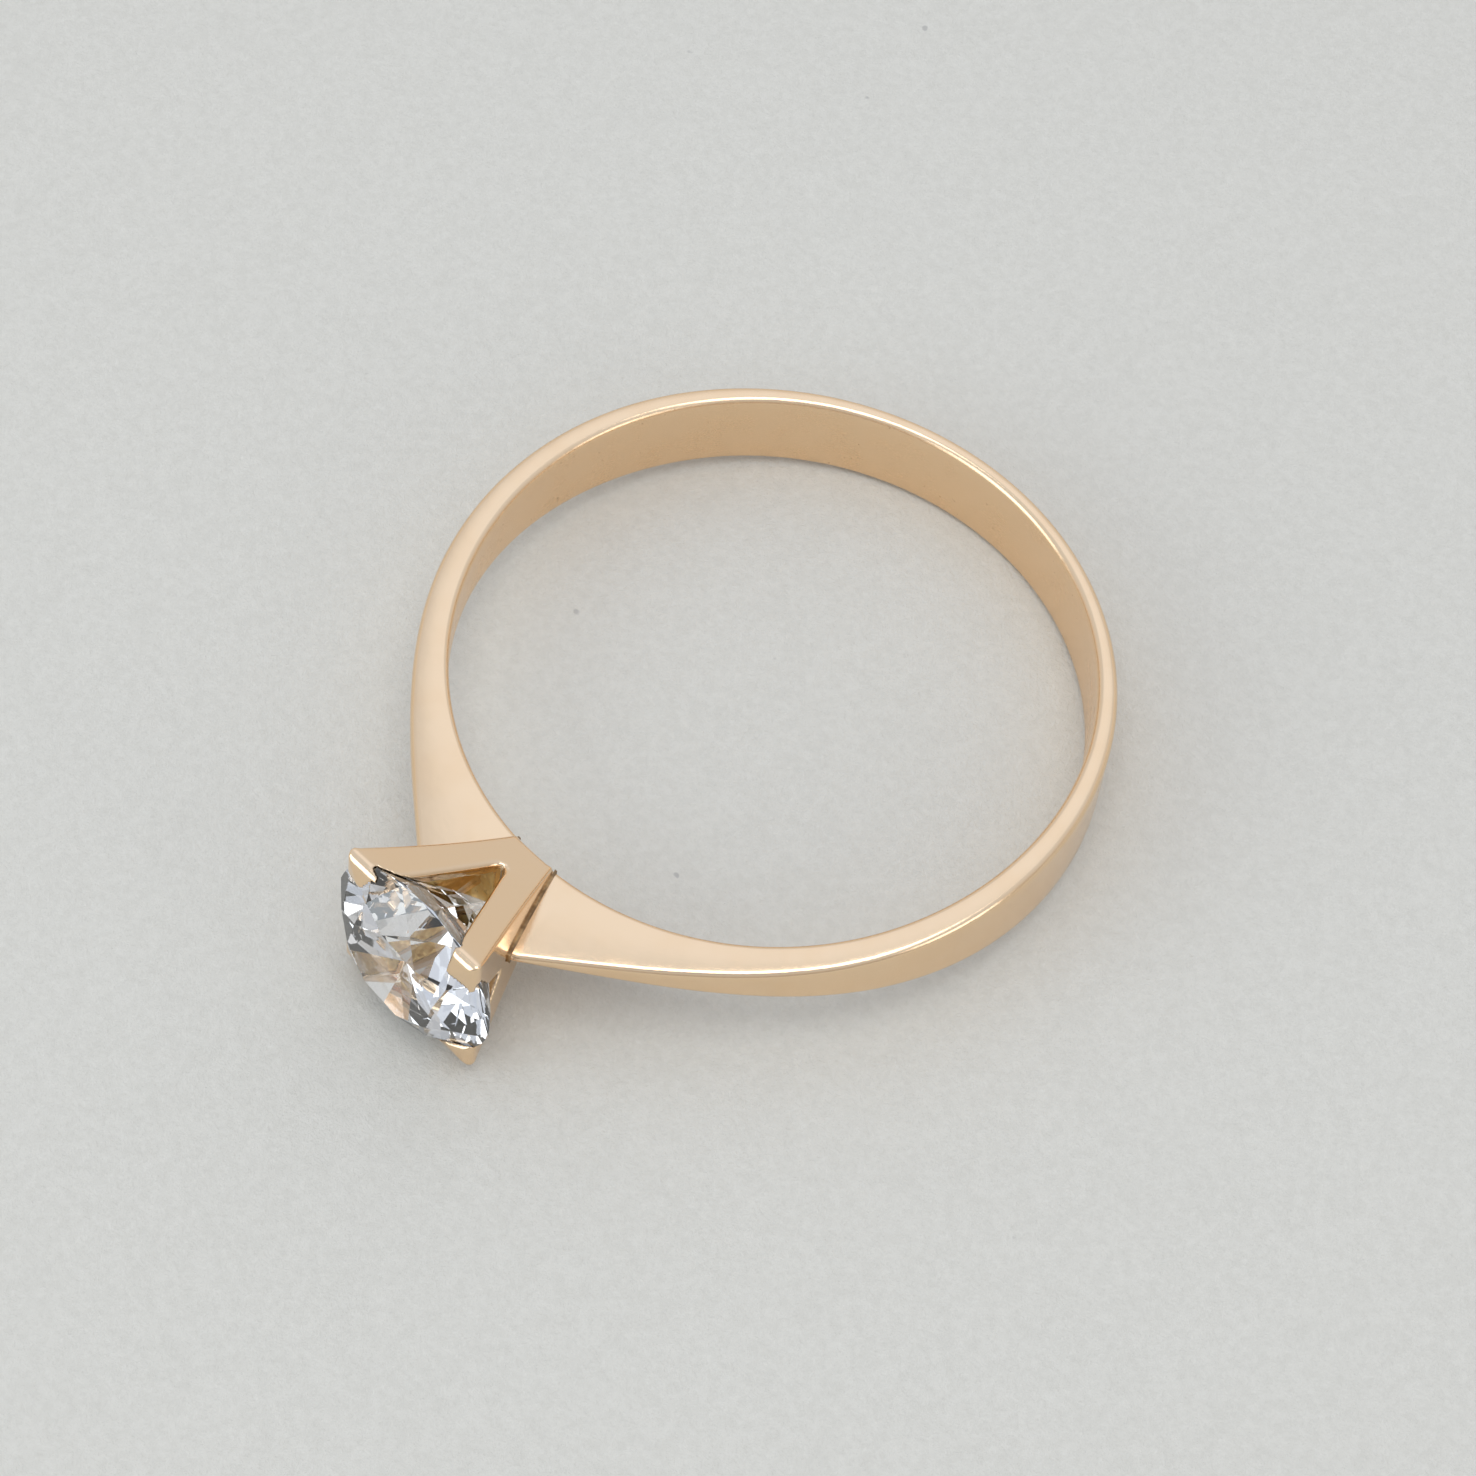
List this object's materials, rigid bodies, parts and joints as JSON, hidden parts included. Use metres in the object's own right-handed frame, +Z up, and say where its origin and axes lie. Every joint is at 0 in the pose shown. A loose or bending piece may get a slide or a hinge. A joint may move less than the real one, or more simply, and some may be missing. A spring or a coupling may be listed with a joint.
{
  "type": "engagement ring",
  "caption": "Slim gold ring with a clear round stone in a square claw setting held between thin tapering shoulders.",
  "frame": {"origin": "centre of the finger hole, in the middle of the band's width", "axes": "the ring lies on its side as on a table: +Z up, the stone towards -Y, +X towards the right-hand shoulder seen from behind the stone; the finger hole's axis leans about 4 degrees from +Z because the head is deeper than the band"},
  "size_m": [0.0184, 0.0226, 0.0055],
  "materials": {
    "band_gold": "polished rose-yellow gold, lightly worn inside",
    "setting_gold": "polished gold outside, rougher inside the cup",
    "brilliant": "clear cut stone, flat polished facets",
    "solder": "dull dark solder"
  },
  "bodies": {
    "root": {"shank": "band_gold", "claw_setting": "setting_gold", "stone": "brilliant", "solder_seam_left": "solder", "solder_seam_right": "solder"}
  },
  "joints": []
}
